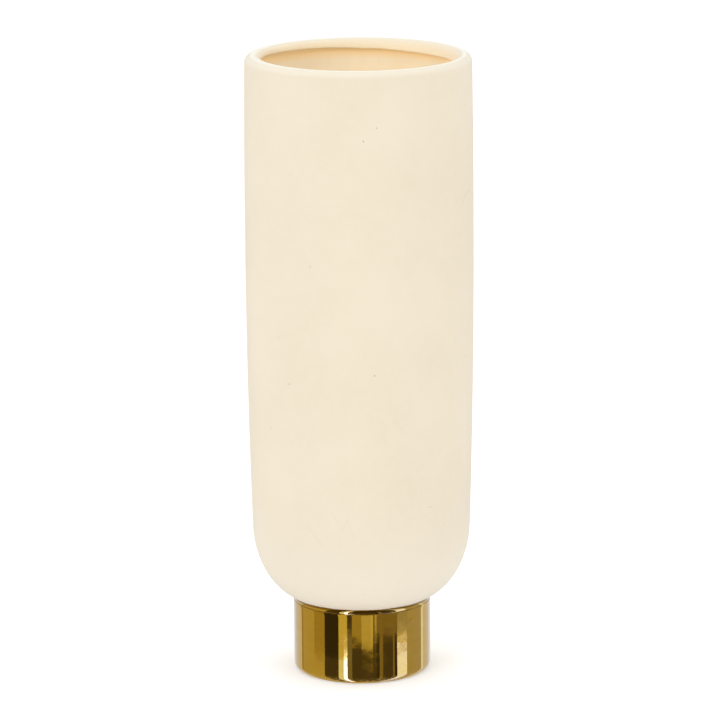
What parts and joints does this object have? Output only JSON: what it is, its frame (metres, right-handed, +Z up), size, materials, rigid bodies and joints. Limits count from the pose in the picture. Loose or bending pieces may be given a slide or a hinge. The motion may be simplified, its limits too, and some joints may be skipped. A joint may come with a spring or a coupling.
{
  "type": "footed vase",
  "caption": "Tall cylindrical porcelain vase with a thick rounded lip and a rounded bottom, in matte cream glaze, on a short narrower cylindrical foot covered in mirror-bright gold lustre.",
  "frame": {"origin": "centre of the bare ring under the foot, on the surface that the vase stands on", "axes": "+Z up along the vase's axis, from the foot to the mouth; the vase is round, so +X and +Y are any two level directions at right angles"},
  "size_m": [0.115, 0.115, 0.3175],
  "materials": {
    "porcelain": "matte",
    "cream_glaze": "matte",
    "lining_glaze": "satin",
    "foot_porcelain": "matte",
    "slip": "matte",
    "clear_glaze": "gloss",
    "base_glaze": "gloss",
    "gold": "polished"
  },
  "bodies": {
    "root": {"vessel": "porcelain", "outer_glaze": "cream_glaze", "inner_glaze": "lining_glaze", "foot_ring": "foot_porcelain", "slip_joint": "slip", "foot_glaze": "clear_glaze", "base_glaze": "base_glaze", "gold_lustre": "gold"}
  },
  "joints": []
}
